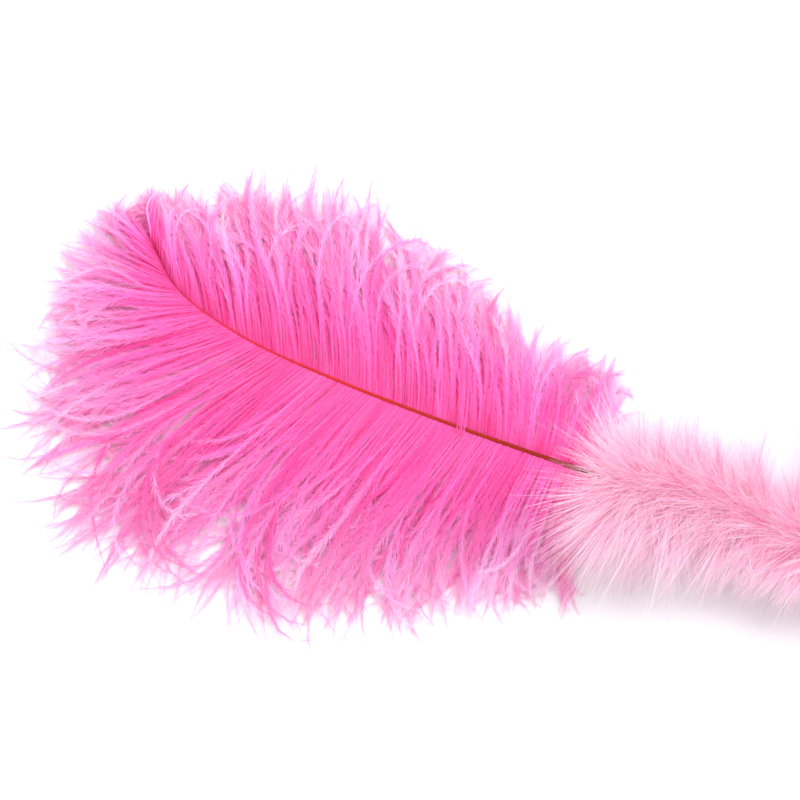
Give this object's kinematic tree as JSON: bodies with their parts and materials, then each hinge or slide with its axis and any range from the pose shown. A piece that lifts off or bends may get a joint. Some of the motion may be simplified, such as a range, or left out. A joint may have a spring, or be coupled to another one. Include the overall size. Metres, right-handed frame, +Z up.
{
  "type": "feather boa",
  "caption": "Marabou feather boa laid in a coil, with one large ostrich plume bound to its head end by its quill.",
  "frame": {"origin": "on the table, under the first cluster of marabou at the boa's head end, 30 mm from the plume's lashing", "axes": "+X along the boa away from the plume, +Y across it towards the plume's shorter vane, +Z up from the table"},
  "size_m": [0.7359, 0.4603, 0.1493],
  "materials": {
    "plume": "hot pink dyed ostrich barbs, soft sheen",
    "marabou": "pale pink dyed marabou down, silky",
    "shaft": "dyed quill, satin orange-brown",
    "quill_root": "dark brown cut quill end, satin",
    "thread": "pink sewing thread",
    "cord": "twisted pink cotton cord"
  },
  "bodies": {
    "boa": {"marabou_cluster_03": "marabou", "marabou_cluster_04": "marabou", "marabou_cluster_05": "marabou", "marabou_cluster_06": "marabou", "marabou_cluster_07": "marabou", "marabou_cluster_08": "marabou", "marabou_cluster_09": "marabou", "marabou_cluster_10": "marabou", "marabou_cluster_11": "marabou", "marabou_cluster_12": "marabou", "marabou_cluster_13": "marabou", "marabou_cluster_14": "marabou", "marabou_cluster_15": "marabou", "marabou_cluster_16": "marabou", "marabou_cluster_17": "marabou", "marabou_cluster_18": "marabou", "marabou_cluster_19": "marabou", "marabou_cluster_20": "marabou", "marabou_cluster_21": "marabou", "marabou_cluster_22": "marabou", "marabou_cluster_23": "marabou", "boa_cord": "cord"},
    "head": {"marabou_cluster_01": "marabou", "marabou_cluster_02": "marabou", "head_cord": "cord"},
    "lashing": {"lashing_thread": "thread"},
    "plume": {"plume_shaft": "shaft", "quill_root": "quill_root", "upper_vane_tuft_1": "plume", "upper_vane_tuft_2": "plume", "upper_vane_tuft_3": "plume", "upper_vane_tuft_4": "plume", "upper_vane_tuft_5": "plume", "upper_vane_tuft_6": "plume", "lower_vane_tuft_1": "plume", "lower_vane_tuft_2": "plume", "lower_vane_tuft_3": "plume", "lower_vane_tuft_4": "plume", "lower_vane_tuft_5": "plume", "lower_vane_tuft_6": "plume", "plume_tip_tuft": "plume"},
    "tail": {"marabou_cluster_24": "marabou", "marabou_cluster_25": "marabou", "tail_cord": "cord", "tail_knot": "cord"}
  },
  "joints": [
    {"name": "head_sway", "type": "hinge", "parent": "boa", "child": "head", "pos_m": [0.10008, 0.0028, 0.03696], "axis": [0, 0, 1], "range_deg": [-30, 30]},
    {"name": "plume_sway", "type": "hinge", "parent": "head", "child": "lashing", "pos_m": [-0.03, 0, 0.03696], "axis": [0, 0, 1], "range_deg": [-25, 25]},
    {"name": "plume_lift", "type": "hinge", "parent": "lashing", "child": "plume", "pos_m": [-0.03, 0, 0.03696], "axis": [0, 1, 0], "range_deg": [0, 60]},
    {"name": "tail_lift", "type": "hinge", "parent": "boa", "child": "tail", "pos_m": [0.2477, 0.29868, 0.11207], "axis": [0.1313, 0.9913, 0], "range_deg": [0, 30]}
  ]
}
